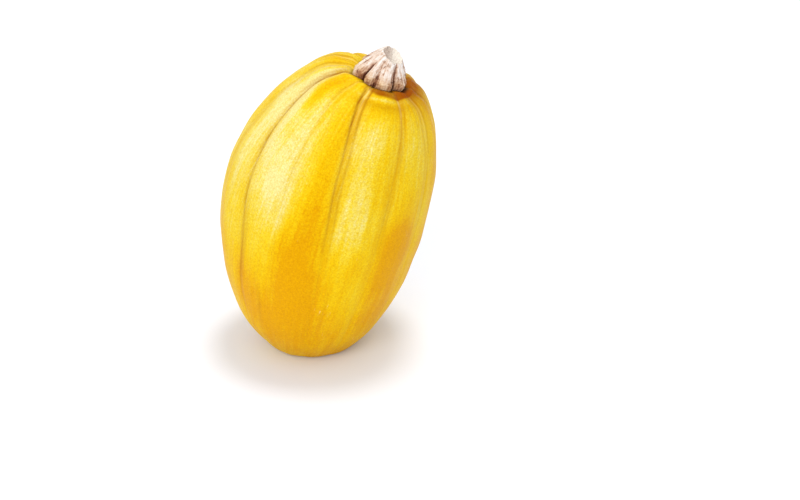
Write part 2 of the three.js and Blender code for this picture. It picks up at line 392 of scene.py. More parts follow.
def closedSurface(name, firstPole, rings, lastPole, values):
    # a tube of quads between two fans of triangles. values holds [first pole, rings, last pole] by name
    rows, columns = rings.shape[:2]
    index = np.arange(rows * columns).reshape(rows, columns) + 1
    right = np.roll(index, -1, axis=1)
    quads = np.stack([index[:-1], right[:-1], right[1:], index[1:]], axis=-1).reshape(-1, 4)
    last = rows * columns + 1
    firstFan = np.stack([np.zeros(columns, int), right[0], index[0]], axis=-1)
    lastFan = np.stack([np.full(columns, last), index[-1], right[-1]], axis=-1)
    points = np.concatenate([[firstPole], rings.reshape(-1, 3), [lastPole]]) * mm
    mesh = bpy.data.meshes.new(name)
    mesh.from_pydata(points.tolist(), [], quads.tolist() + firstFan.tolist() + lastFan.tolist())
    mesh.polygons.foreach_set("use_smooth", np.ones(len(mesh.polygons), bool))
    for label, (atFirst, onRings, atLast) in values.items():
        isVector = np.ndim(atFirst) == 1
        flat = np.concatenate([np.ravel(atFirst), np.ravel(onRings), np.ravel(atLast)])
        layer = mesh.attributes.new(label, "FLOAT_VECTOR" if isVector else "FLOAT", "POINT")
        layer.data.foreach_set("vector" if isVector else "value", flat.astype(np.float32))
    mesh.update()
    return addObject(name, mesh)


stem = {
    "height": 22.5,
    "footRadius": 17.5,
    "footNotches": (1.07, 1.05),  # the toes' share of the radius, and how much a groove's depth counts
    "footOval": 0.9,
    "neckRadius": 6.7,
    "neckNotches": (1.04, 0.55),
    "flare": 1.15,
    "rise": 1.25,
    "toeThickness": 3.4,
    "toeRound": 1.6,
    "toeShare": 0.07,  # of the way up the flank that goes round the lip of the toes
    "trim": 3.5,  # how far the foot is pulled in behind the pointed left toe
    "trimAt": math.radians(-100),
    "trimWidth": math.radians(20),
    "lean": 4.3,
    "twist": math.radians(12),
    "cutTilt": 0.45,
    "cutTiltTowards": math.radians(137),  # the cut is highest at this azimuth
    "cutHollow": 2.4,
    "cutRing": (0.25, 0.62, 0.16),  # a raised ring on the cut: height, place and width
    "cutFibres": (0.28, 1.6),  # height and width
    "sunk": 0.5,  # how deep the foot sits in the skin
    "grooveWidth": math.radians(10.5),
    "groovePower": 1.5,
    "columnsInRidge": 44,
    "columnCrowding": 0.09,
    "ringsOnFoot": 5,
    "ringsOnFlank": 130,
    "ringPower": 1.25,
    "ringsOnCut": 22,
    "fibreRadius": 14,  # of the cylinder on which fibres are drawn, and its length
    "fibreLength": 5.0,
    "fibreDepth": 0.30,  # fine ridges along the cork
    "fibreWidth": 2.2,
    "barkDepth": 0.20,  # its crumbly surface
    "barkWidth": 1.7,
    "crackDepth": 0.9,  # dry cracks along it
    "crackWidth": 3.4,
    "crackStretch": 0.8,
    "crackEdge": 0.16,
    "crackPatches": 7,
    "reliefAtRim": 0.35,
}

# Azimuth of each groove, in degrees from the front, and its depth as a share of the radius
grooves = np.array([
    (-47, 0.28), (-14, 0.24), (41, 0.34), (97, 0.26), (133, 0.30), (168, 0.22), (207, 0.32), (250, 0.26),
])
grooveAzimuths = np.radians(grooves[:, 0]) + front


def grooveCut(azimuth):
    # the two grooves beside a place, each a bell of the angle away with a pointed bottom
    here, following, span, share = between(grooveAzimuths, azimuth)
    shape = lambda away: np.exp(-((away * span / stem["grooveWidth"]) ** stem["groovePower"]))
    return grooves[here, 1] * shape(share) + grooves[following, 1] * shape(1 - share)


def footRadius(azimuth):
    # a toe under each ridge, notched at each groove, and pulled in behind the left one, which is pointed
    toe, notch = stem["footNotches"]
    trim = stem["trim"] * bump(aside(azimuth - front, stem["trimAt"]), 0, stem["trimWidth"])
    oval = stem["footOval"] * np.sin(2 * azimuth + 0.5)
    return stem["footRadius"] * (toe - notch * grooveCut(azimuth)) + oval - trim


def neckRadius(azimuth):
    # a circle notched at each groove
    ridge, notch = stem["neckNotches"]
    return stem["neckRadius"] * (ridge - notch * grooveCut(azimuth))


def polarAtRadius(radius, azimuth):
    # halves the way between the fruit's waist and its stem end until the skin is that far from the axis
    near = np.full(np.shape(azimuth), np.pi / 2)
    far = np.full(np.shape(azimuth), np.pi - 1e-4)
    for _ in range(30):
        middle = (near + far) / 2
        skin = skinPoint(middle, azimuth)
        middleX, middleY = centreLine(-np.cos(middle))
        outside = np.hypot(skin[..., 0] - middleX, skin[..., 1] - middleY) > radius
        near, far = np.where(outside, middle, near), np.where(outside, far, middle)
    return (near + far) / 2


def seatPoint(radius, azimuth):
    # the skin at that radius, sunk by the depth of the seat
    return skinPoint(polarAtRadius(radius, azimuth), azimuth, -stem["sunk"])


stemEnd = (np.array(np.pi), np.array(front))  # polar angle and azimuth of the fruit's own stem end
cutMiddle = skinPoint(*stemEnd) + (stem["lean"], 0, stem["height"])


def flankPoint(share, azimuth, lift=0.0):
    # share 0 is under the edge of the foot, 1 is the rim of the cut: out and up round the lip of each
    # toe, then narrowing to the neck, with a middle that moves over to the middle of the cut
    foot, neck = footRadius(azimuth), neckRadius(azimuth)
    outward = lambda angle: np.stack([np.cos(angle), np.sin(angle), 0 * angle], axis=-1)
    turned = azimuth - stem["twist"] * share
    edge = foot - stem["toeRound"]
    seat = seatPoint(edge, azimuth)
    around = np.clip(share / stem["toeShare"], 0, 1) * np.pi / 2
    narrowed = neck + (foot - neck) * (1 - share) ** stem["flare"] - stem["toeRound"] * (1 - np.sin(around))
    middle = lerp(seat - outward(azimuth) * edge[..., None], cutMiddle, share[..., None])
    point = middle + outward(turned) * (narrowed + lift)[..., None]
    rim = cutMiddle[2] + stem["cutTilt"] * neck * np.cos(turned - stem["cutTiltTowards"])
    rise = 1 - (1 - share) ** stem["rise"]
    toe = stem["toeThickness"] * (1 - np.cos(around)) * (1 - share)
    point[..., 2] = lerp(seat[..., 2], rim, rise) + toe
    return point


def ribGrid():
    # polar angle by azimuth, with the columns laid along the ribs so that the furrows stay sharp, and
    # what all the marks are worked out from: where each point lies, and how near the stem and the poles
    grid = SimpleNamespace()
    polar = np.pi * crowded(fruit["rings"], fruit["ringCrowding"])[1:]
    edges = furrowAzimuths(-np.cos(polar))[..., None]
    ends = np.concatenate([edges[:, 1:], edges[:, :1] + turn], axis=1)
    grid.across = crowded(fruit["columnsInRib"], fruit["columnCrowding"])
    grid.azimuth = lerp(edges, ends, grid.across)
    grid.polar = np.broadcast_to(polar[:, None, None], grid.azimuth.shape)
    grid.ribSpan = ends - edges
    grid.along = -np.cos(grid.polar)
    grid.onTop = grid.along > 0
    grid.radius = fruitOutline(grid.polar)[0]
    grid.place = skinCoordinates(grid.polar, grid.azimuth)
    grid.smooth = skinPoint(grid.polar, grid.azimuth)
    grid.fromFoot = grid.radius - footRadius(grid.azimuth)  # outwards from the foot of the stem
    grid.nearStem = np.where(grid.onTop, np.exp(-np.maximum(grid.fromFoot, 0) / fruit["nearStem"]), 0)
    grid.clear = smoothStep(grid.radius, *fruit["clearRadii"])
    return grid


def furrowMarks(grid):
    # bells across the nearer furrow, by the distance from its middle: three brown lines, which are
    # patchy, a pale line beside them near the stem, a painted highlight along the fine lip there, and the
    # wide painted shade across the furrow
    nearer = np.where(grid.across < 0.5, furrows[:, 3:, None], np.roll(furrows, -1, axis=0)[:, 3:, None])
    depth, leftLine, middleLine, rightLine, paleLine, paleAt = np.moveaxis(nearer, 1, 0)
    away = np.where(grid.across < 0.5, grid.across, grid.across - 1) * grid.ribSpan * grid.radius
    wander = fruit["lineWander"] * waves(grid.place * (0.05, 0.05, 1), fruit["wanderLength"], seed=11)
    away = away + wander * smoothStep(grid.radius, *fruit["wanderRadii"])
    fade = smoothStep(grid.along, *fruit["lineSpan"]) * grid.clear
    patchy = 0.62 + 0.5 * waves(grid.place * (0.3, 0.3, 1), fruit["patchLength"], seed=12)
    patchy = np.clip(patchy, 0.15, 1)
    apart, width = fruit["lineApart"], fruit["lineWidth"]
    lines = leftLine * bump(away, -apart, width) + rightLine * bump(away, apart, width)
    lines = np.clip(lines + middleLine * bump(away, 0, width * 1.2), 0, 1) * fade
    farStrength, nearStrength = fruit["lineStrength"]
    lines = np.clip(lines * lerp(patchy * farStrength, nearStrength, grid.nearStem), 0, 1)
    pale = paleLine * bump(away, paleAt, fruit["lipWidth"]) * fade
    pale = pale * smoothStep(grid.nearStem, *fruit["lipSpan"])
    return lines, pale, depth * bump(away, 0, fruit["valleyShadeWidth"]) * fade


def skinRelief(grid, lines, pale):
    # slow dents, ridges drawn out along the skin, creases under the brown lines, lips under the pale
    # ones, and round the stem a collar with a dip outside it, in mm
    relief = fruit["dentDepth"] * waves(grid.smooth, fruit["dentWidth"], seed=3)
    stretched = grid.place * (1, 1, fruit["flutingStretch"])
    fluting = waves(stretched, fruit["flutingWidth"], seed=7)
    fluting = fluting + 0.6 * waves(stretched, fruit["flutingWidth"] / 2.3, seed=8)
    relief += fruit["flutingDepth"] * fluting * (1 + fruit["flutingGain"] * grid.nearStem) * grid.clear
    relief += (fruit["lipHeight"] * pale - fruit["lineDepth"] * lines) * grid.clear
    collar = bump(grid.fromFoot, *fruit["collarAt"]) - 0.8 * bump(grid.fromFoot, *fruit["collarDip"])
    return relief + np.where(grid.onTop, fruit["collarHeight"] * collar * grid.clear, 0)


def skinWashes(grid, lines):
    # how golden the skin is: deeper towards the blossom end, in patches, with washes that keep to the
    # ribs, each a bell across them times a bell along. The strokes are added to the brown lines
    lowEdges = np.degrees(furrowAzimuths(-1.0) - front)[:, None]
    lowEnds = np.append(lowEdges[1:, 0], lowEdges[0, 0] + 360)[:, None]
    wander, wanderLength = fruit["washWander"]
    patches, patchSize = fruit["goldenPatches"]
    ribAngle = lerp(lowEdges, lowEnds, grid.across)
    ribAngle = ribAngle + wander * waves(grid.place * (1, 1, 0.25), wanderLength, seed=22)
    golden = fruit["golden"] + fruit["goldenGain"] * smoothStep(-grid.along, *fruit["goldenSpan"])
    golden = golden + patches * waves(grid.smooth, patchSize, seed=21)
    for at, middle, width, length, amount in washes:
        across = bump(aside(ribAngle, at, 360), 0, width)
        golden = golden + amount * across * bump(grid.along, middle, length)
    for at, middle, length, amount in strokes:
        across = bump(aside(ribAngle, at, 360), 0, fruit["strokeWidth"])
        lines = lines + amount * across * bump(grid.along, middle, length)
    return golden, lines


def stemShade(grid):
    # painted shade in the hollow round the stem, deeper on the right, a painted highlight (the gleam) on
    # the collar in front of it, and a painted shadow, the dark line where stem and skin meet: bells of
    # the distance from the toes times bells of the azimuth
    fromFront = np.degrees(aside(grid.azimuth, front))
    sides = (fruit["rightSide"], fruit["farRight"], fruit["inFront"])
    rightSide, farRight, inFront = [bump(fromFront, *side) for side in sides]
    fromToes = np.maximum(grid.radius - 1.04 * stem["footRadius"], 0)
    inner, outer = fruit["shadeEdge"]
    reach = lerp(*fruit["shadeReach"], smoothStep(fromFront, *fruit["reachSpan"]))
    recessShade = (1 - smoothStep(fromToes, reach + inner, reach + outer)) * np.maximum(rightSide, inFront)
    ring = lambda amount, middle, width: amount * bump(fromToes, middle, width)
    recessShade = np.maximum(recessShade, ring(*fruit["farShade"]) * farRight)
    recessShade = recessShade + ring(*fruit["outerShade"]) * inFront
    gleam = ring(*fruit["gleam"]) * inFront
    contactShadow = bump(np.maximum(grid.fromFoot, 0), 0, lerp(*fruit["contactWidth"], rightSide))
    contactShadow = contactShadow * lerp(*fruit["contactStrength"], rightSide)
    return np.clip(recessShade, 0, 1) * grid.onTop, gleam * grid.onTop, contactShadow * grid.onTop


def makeFruit():
    # the skin lifted by its relief, stood up and pressed onto the floor, and the marks as attributes
    grid = ribGrid()
    lines, pale, furrowShade = furrowMarks(grid)
    relief = skinRelief(grid, lines, pale)
    golden, lines = skinWashes(grid, lines)
    inPale = smoothStep(golden, *fruit["palest"]) * (1 - grid.nearStem)
    recessShade, gleam, contactShadow = stemShade(grid)
    atFront = np.array(front)
    # by name: at the blossom end's pole, on the rings, and at the stem end's pole
    values = {
        "golden": (0.8, golden - gleam, 0.8),
        "lines": (0, np.clip(lines, 0, 1) * lerp(1, fruit["lineInPale"], inPale), 0),
        "furrowShade": (0, furrowShade * lerp(1, fruit["valleyInPale"], inPale), 0),
        "pale": (0, pale, 0),
        "recessShade": (0, recessShade, 1),
        "contactShadow": (0, contactShadow, 1),
        "blossom": (1, np.where(grid.onTop, 0, bump(grid.radius, 0, fruit["blossomRadius"])), 0),
        "place": (skinCoordinates(0.0, atFront) * mm, grid.place * mm, skinCoordinates(np.pi, atFront) * mm),
    }
    points = restOnFloor(stand(skinPoint(grid.polar, grid.azimuth, relief)))
    poles = restOnFloor(stand(skinPoint(np.array([0.0, np.pi]), np.array([front, front]))))
    return closedSurface("squashSkin", poles[0], points.reshape(len(points), -1, 3), poles[1], values)


def corkTexture(share, azimuth):
    # fibres are waves drawn out up the flank, bark is finer ones in all directions, and cracks are
    # where slow waves cross zero, in patches
    radius, length = stem["fibreRadius"], stem["fibreLength"]
    width, barkWidth = stem["fibreWidth"], stem["barkWidth"]
    smooth = flankPoint(share, azimuth)
    place = np.stack([np.cos(azimuth) * radius, np.sin(azimuth) * radius, share * length], axis=-1)
    fibres = waves(place, width * 1.6, seed=31) + 0.7 * waves(place, width * 0.7, seed=32)
    bark = waves(smooth, barkWidth, seed=33) + 0.8 * waves(smooth, barkWidth * 2.4, seed=34)
    cracks = np.abs(waves(place * (1, 1, stem["crackStretch"]), stem["crackWidth"], seed=36))
    patches = smoothStep(waves(smooth, stem["crackPatches"], seed=37), -0.3, 0.6)
    return place, fibres, bark, smoothStep(cracks, stem["crackEdge"], 0.0) * patches


def cutSurface(rim):
    # the rim drawn in to the middle of the cut: a hollow that deepens with the cube, fibres and a ring
    inward = (1 - np.arange(1, stem["ringsOnCut"]) / stem["ringsOnCut"])[:, None]
    points = lerp(cutMiddle, rim, inward[..., None])
    fibreHeight, fibreWidth = stem["cutFibres"]
    ringHeight, ringPlace, ringWidth = stem["cutRing"]
    torn = fibreHeight * waves(points * (1, 1, 0), fibreWidth, seed=35)
    torn = torn + ringHeight * bump(inward, ringPlace, ringWidth)
    points[..., 2] += -stem["cutHollow"] * (1 - inward ** 3) + torn * smoothStep(1 - inward, 0, 0.12)
    return points, inward


def makeStem():
    # azimuth by share of the way up, from under the foot, over the toes and the flank, to the cut
    ends = np.append(grooveAzimuths[1:], grooveAzimuths[0] + turn)
    across = crowded(stem["columnsInRidge"], stem["columnCrowding"])
    azimuth = lerp(grooveAzimuths[:, None], ends[:, None], across).ravel()
    depth = np.clip(grooveCut(azimuth) / 0.3, 0, 1)
    under = np.arange(1, stem["ringsOnFoot"] + 1)[:, None] / stem["ringsOnFoot"]
    under = (footRadius(azimuth) - stem["toeRound"]) * under
    footRings = seatPoint(under, np.broadcast_to(azimuth, under.shape))
    share = (np.arange(1, stem["ringsOnFlank"] + 1) / stem["ringsOnFlank"]) ** stem["ringPower"]
    share, azimuth = np.broadcast_arrays(share[:, None], azimuth)

    place, fibres, bark, cracks = corkTexture(share, azimuth)
    lift = stem["fibreDepth"] * fibres + stem["barkDepth"] * bark * (1 - 0.6 * (share > 0.97))
    swell = lerp(1, stem["reliefAtRim"], share) * smoothStep(share, 0, 0.04)
    flank = flankPoint(share, azimuth, (lift - stem["crackDepth"] * cracks) * swell)
    cutRings, inward = cutSurface(flank[-1])
    leftward = (cutMiddle - cutRings)[..., 0] / stem["neckRadius"]
    drawnIn = np.concatenate([inward, inward, np.ones_like(inward)], axis=-1)[:, None]

    # by name: at the pole under the foot, under the foot, on the flank, on the cut, and at its middle
    parts = {
        "groove": (0, 0.6, depth, 0, 0),
        "up": (0, 0, share, 1, 1),
        "hollows": (0, 0.5, -(fibres + 0.6 * bark), 0, 0),
        "onCut": (0, 0, smoothStep(share, 0.985, 1), 1, 1),
        "inward": (0, 0, 1, inward, 0),
        "cracks": (0, 0, cracks, 0, 0),
        # painted shade on the left of the hollow cut
        "cutShade": (0, 0, 0, smoothStep(leftward, -0.25, 0.75), 0.35),
        "place": (
            np.zeros(3), place[0] * mm, place * mm, place[-1] * drawnIn * mm,
            np.array([0, 0, stem["fibreLength"]]) * mm,
        ),
    }
    surfaces = (footRings, flank, cutRings)
    values = {}
    for name, (atFirst, *onSurfaces, atLast) in parts.items():
        filled = [np.broadcast_to(value, surface.shape[:2] + np.shape(atFirst))
                  for value, surface in zip(onSurfaces, surfaces)]
        values[name] = (atFirst, np.concatenate(filled), atLast)
    firstPole = stand(skinPoint(*stemEnd, -stem["sunk"]))
    lastPole = stand(cutMiddle - (0, 0, stem["cutHollow"]))
    return closedSurface("squashStem", firstPole, stand(np.concatenate(surfaces)), lastPole, values)


def srgb(red, green, blue):
    # 0 to 255 as painted, to the linear values that the shaders use, opaque
    linear = [((c / 255 + 0.055) / 1.055) ** 2.4 if c > 10 else c / 255 / 12.92 for c in (red, green, blue)]
    return (*linear, 1.0)


def feed(tree, socket, value):
    # a link where the value is another node's socket, and a fixed value otherwise
    if isinstance(value, bpy.types.NodeSocket):
        tree.links.new(value, socket)
    else:
        socket.default_value = value


def feedAll(tree, node, **values):
    # each of the node's inputs that is given by name
    for label, value in values.items():
        feed(tree, node.inputs[label], value)


def calculate(tree, operation, first, second, clamp=False):
    # the operation on the two values, kept within 0 and 1 on request
    node = tree.nodes.new("ShaderNodeMath")
    node.operation = operation
    node.use_clamp = clamp
    feed(tree, node.inputs[0], first)
    feed(tree, node.inputs[1], second)
    return node.outputs[0]


def times(tree, first, second):
    # the product, which is wanted most often
    return calculate(tree, "MULTIPLY", first, second)


def rescale(tree, value, low, high, toLow=0.0, toHigh=1.0):
    # a straight line from toLow at low to toHigh at high, level outside them
    node = tree.nodes.new("ShaderNodeMapRange")
    for socket, given in zip(node.inputs, (value, low, high, toLow, toHigh)):
        feed(tree, socket, given)
    return node.outputs[0]


def blend(tree, share, under, over, mode="MIX"):
    # a share of over, or of the product of both with MULTIPLY, laid on under
    node = tree.nodes.new("ShaderNodeMix")
    node.data_type = "RGBA"
    node.blend_type = mode
    node.clamp_factor = True
    feed(tree, node.inputs["Factor"], share)
    feed(tree, node.inputs[6], under)
    feed(tree, node.inputs[7], over)
    return node.outputs[2]


def vary(tree, value, textures):
    # the value plus, for each texture, its amount times how far the texture is from 0.5
    for texture, amount in textures:
        change = times(tree, calculate(tree, "SUBTRACT", texture, 0.5), amount)
        value = calculate(tree, "ADD", value, change)
    return value


def colourRamp(tree, value, stops):
    # colours mixed in a straight line between neighbouring stops
    node = tree.nodes.new("ShaderNodeValToRGB")
    elements = node.color_ramp.elements
    while len(elements) < len(stops):
        elements.new(0.5)
    for element, (position, colour) in zip(elements, stops):
        element.position = position
        element.color = colour
    feed(tree, node.inputs[0], value)
    return node.outputs[0]


def attribute(tree, name, isVector=False):
    # what the mesh carries under this name
    node = tree.nodes.new("ShaderNodeAttribute")
    node.attribute_name = name
    return node.outputs["Vector" if isVector else "Fac"]


def objectPlace(tree):
    # the piece's own coordinates, in metres
    return tree.nodes.new("ShaderNodeTexCoord").outputs["Object"]


def noise(tree, place, size, detail=2.0, roughness=0.5):
    # smooth noise of 0 to 1, with patches about as wide as size, in metres
    node = tree.nodes.new("ShaderNodeTexNoise")
    feedAll(tree, node, Vector=place, Scale=1 / size, Detail=detail, Roughness=roughness)
    return node.outputs[0]


def raised(tree, layers):
    # bumps one upon the other: each is a height from 0 to 1, and what 1 stands for in metres
    normal = None
    for height, distance in layers:
        node = tree.nodes.new("ShaderNodeBump")
        node.inputs["Distance"].default_value = distance
        feed(tree, node.inputs["Height"], height)
        if normal is not None:
            feed(tree, node.inputs["Normal"], normal)
        normal = node.outputs[0]
    return normal


def newGroup(name, numbers, result):
    # a group that turns a place and these numbers into one number; gives it and its inner sockets
    tree = bpy.data.node_groups.new(name, "ShaderNodeTree")
    tree.interface.new_socket("Place", in_out="INPUT", socket_type="NodeSocketVector")
    for label in numbers:
        tree.interface.new_socket(label, in_out="INPUT", socket_type="NodeSocketFloat")
    tree.interface.new_socket(result, in_out="OUTPUT", socket_type="NodeSocketFloat")
    return tree, tree.nodes.new("NodeGroupInput").outputs, tree.nodes.new("NodeGroupOutput").inputs


def useGroup(tree, group, **values):
    # the group's one output, with its inputs fed by name
    node = tree.nodes.new("ShaderNodeGroup")
    node.node_tree = group
    feedAll(tree, node, **values)
    return node.outputs[0]


def makeStreaksGroup():
    # noise drawn out along the growth: width and length are the size of one streak, in metres
    tree, given, out = newGroup("growthStreaks", ("Width", "Length"), "Streaks")
    sizes = tree.nodes.new("ShaderNodeCombineXYZ")
    for socket, label in zip(sizes.inputs, ("Width", "Width", "Length")):
        feed(tree, socket, given[label])
    divide = tree.nodes.new("ShaderNodeVectorMath")
    divide.operation = "DIVIDE"
    feed(tree, divide.inputs[0], given["Place"])
    feed(tree, divide.inputs[1], sizes.outputs[0])
    streaks = noise(tree, divide.outputs[0], 1.0, detail=4.0, roughness=0.6)
    feed(tree, out["Streaks"], rescale(tree, streaks, 0.28, 0.72))
    return tree


def makeSpecksGroup():
    # round spots in random places, from the distance to the nearest cell's point: size is a spot's
    # radius in metres, and share is how many of the cells have one
    tree, given, out = newGroup("specks", ("Spacing", "Size", "Share"), "Specks")
    cells = tree.nodes.new("ShaderNodeTexVoronoi")
    feedAll(tree, cells, Vector=given["Place"], Scale=calculate(tree, "DIVIDE", 1.0, given["Spacing"]))
    apart = times(tree, cells.outputs["Distance"], given["Spacing"])
    random = tree.nodes.new("ShaderNodeSeparateColor")
    feed(tree, random.inputs[0], cells.outputs["Color"])
    size = times(tree, given["Size"], rescale(tree, random.outputs[1], 0, 1, 0.5, 1.3))
    chosen = calculate(tree, "LESS_THAN", random.outputs[0], given["Share"])
    spot = calculate(tree, "SUBTRACT", 1.0, calculate(tree, "DIVIDE", apart, size), clamp=True)
    feed(tree, out["Specks"], times(tree, rescale(tree, spot, 0.0, 0.5), chosen))
    return tree


def newMaterial(name, fixedValues):
    # a material with one Principled shader that has these values; gives it, its tree and the sockets
    material = bpy.data.materials.new(name)
    material.use_nodes = True
    tree = material.node_tree
    tree.nodes.clear()
    shader = tree.nodes.new("ShaderNodeBsdfPrincipled")
    output = tree.nodes.new("ShaderNodeOutputMaterial")
    tree.links.new(shader.outputs[0], output.inputs[0])
    for label, value in fixedValues.items():
        shader.inputs[label].default_value = value
    return material, tree, shader.inputs


# Sizes and heights in metres. Streaks have a width and a length. Specks have a spacing, a radius and the
# share of the places that have one
rind = {
    "ramp": [
        (0.00, srgb(240, 233, 160)),
        (0.15, srgb(239, 223, 110)),
        (0.35, srgb(239, 213, 54)),
        (0.55, srgb(239, 203, 20)),
        (0.75, srgb(236, 192, 6)),
        (1.00, srgb(228, 170, 2)),
    ],
    "streaks": {"Width": 0.0035, "Length": 0.045},
    "fineStreaks": {"Width": 0.0011, "Length": 0.016},
    "blotchSize": 0.016,
    "grainSize": 0.0016,
    "unevenness": (0.30, 0.14, 0.34, 0.50),  # of the gold, by streaks, fine streaks, blotches and grain
    "mottleShade": srgb(228, 206, 150),
    "mottleSize": 0.0011,
    "mottleAmount": 0.85,
    # painted shade across the furrows, their brown lines, and a painted highlight along their pale lips
    "furrowShade": (srgb(206, 142, 16), 0.40),  # the tint of each mark, and how much of it
    "lines": (srgb(148, 80, 22), 0.75),
    "pale": (srgb(247, 224, 140), 0.90),
    # painted shade in the hollow round the stem, and a painted shadow where stem and skin meet
    "recessShade": (srgb(150, 74, 2), 1.00),
    "contactShadow": (srgb(30, 14, 8), 0.90),
    "scuff": (srgb(252, 234, 172), 0.55),
    "scuffs": {"Width": 0.0016, "Length": 0.009},
    "scuffPatches": 0.035,
    "freckle": (srgb(150, 96, 36), 0.7),
    "freckles": {"Spacing": 0.011, "Size": 0.00075, "Share": 0.22},
    "blossomScar": srgb(140, 102, 62),
    "roughness": (0.40, 0.52),
    "scuffRoughness": 0.2,
    "scarRoughness": 0.3,
    "shader": {
        "Specular IOR Level": 0.05,
        "Specular Tint": srgb(255, 208, 90),
        "Coat Weight": 0.025,
        "Coat Roughness": 0.22,
    },
    "pores": {"Spacing": 0.0022, "Size": 0.0006, "Share": 0.7},
    "heights": (0.00012, 0.00012, 0.00008),  # of grain, fine streaks and pores
}


def makeRindMaterial(streaksGroup, specksGroup):
    # a ramp by how golden the skin is, then one blend for each mark, each scuff and each freckle
    material, tree, shader = newMaterial("waxyRind", rind["shader"])
    place = attribute(tree, "place", True)
    flat = objectPlace(tree)
    streaks = useGroup(tree, streaksGroup, Place=place, **rind["streaks"])
    fine = useGroup(tree, streaksGroup, Place=place, **rind["fineStreaks"])
    blotches = noise(tree, flat, rind["blotchSize"], detail=3.0, roughness=0.55)
    grain = noise(tree, flat, rind["grainSize"], roughness=0.6)

    textures = (streaks, fine, blotches, grain)
    golden = vary(tree, attribute(tree, "golden"), zip(textures, rind["unevenness"]))
    colour = colourRamp(tree, golden, rind["ramp"])
    mottle = noise(tree, flat, rind["mottleSize"], detail=3.0, roughness=0.7)
    mottle = rescale(tree, mottle, 0.68, 0.32, 0.0, rind["mottleAmount"])
    colour = blend(tree, mottle, colour, rind["mottleShade"], "MULTIPLY")

    brushed = rescale(tree, streaks, 0.0, 1.0, 0.5, 1.1)
    marks = {
        "furrowShade": brushed,
        "lines": brushed,
        "pale": rescale(tree, fine, 0.1, 0.6, 0.3, 1.0),
        "recessShade": rescale(tree, blotches, 0.3, 0.7, 0.75, 1.1),
        "contactShadow": 1.0,
    }
    for name, texture in marks.items():
        tint, amount = rind[name]
        share = times(tree, attribute(tree, name), amount)
        colour = blend(tree, times(tree, share, texture), colour, tint)

    patches = rescale(tree, noise(tree, flat, rind["scuffPatches"], detail=1.0), 0.56, 0.66)
    scuffs = rescale(tree, useGroup(tree, streaksGroup, Place=place, **rind["scuffs"]), 0.84, 0.97)
    scuffs = times(tree, scuffs, patches)
    freckles = useGroup(tree, specksGroup, Place=flat, **rind["freckles"])
    for mask, (tint, amount) in ((scuffs, rind["scuff"]), (freckles, rind["freckle"])):
        colour = blend(tree, times(tree, mask, amount), colour, tint)
    scar = attribute(tree, "blossom")
    feed(tree, shader["Base Color"], blend(tree, scar, colour, rind["blossomScar"]))

    rough = rescale(tree, streaks, 0.0, 1.0, *rind["roughness"])
    for mask, amount in ((scuffs, rind["scuffRoughness"]), (scar, rind["scarRoughness"])):
        rough = calculate(tree, "ADD", rough, times(tree, mask, amount))
    feed(tree, shader["Roughness"], rough)

    pores = calculate(tree, "SUBTRACT", 1.0, useGroup(tree, specksGroup, Place=flat, **rind["pores"]))
    feed(tree, shader["Normal"], raised(tree, zip((grain, fine, pores), rind["heights"])))
    return material


# Sizes as above, and shades in parts of the ramp
cork = {
    "ramp": [
        (0.00, srgb(84, 44, 32)),
        (0.18, srgb(154, 110, 88)),
        (0.38, srgb(201, 167, 143)),
        (0.60, srgb(226, 206, 190)),
        (1.00, srgb(243, 239, 235)),
    ],
    "fibres": {"Width": 0.0016, "Length": 0.0022},
    "fineFibres": {"Width": 0.0006, "Length": 0.0012},
    "grainSize": 0.0007,
    "blotchSize": 0.005,
    "unevenness": (0.50, 0.28, 0.42, 0.34),  # of the tone, by fibres, fine fibres, grain and blotches
    # painted shade, taken off the tone:
    "shades": (0.30, 0.25, 0.45),  # in grooves, at their very bottom, and in cracks
    "paleUp": 0.44,  # how much paler it is at the top
    "toe": srgb(236, 214, 168),
    "speck": (srgb(70, 44, 28), 0.8),
    "specks": {"Spacing": 0.0024, "Size": 0.0006, "Share": 0.34},
    "cutPale": srgb(248, 239, 226),
    # the colour of the painted shade on the left of the hollow cut and towards its middle
    "cutRing": srgb(148, 108, 86),
    "cutRays": {"Width": 0.0016, "Length": 1.0},
    "cutShade": 0.62,
    "cutMiddleShade": 0.22,
    "cutUnevenness": (0.42, 0.75, 0.50),  # by rays, grain and blotches
    "roughness": (0.78, 0.95),
    "shader": {"Specular IOR Level": 0.2},
    "heights": (0.0003, 0.0005, 0.0003),  # of grain, fibres and specks
}


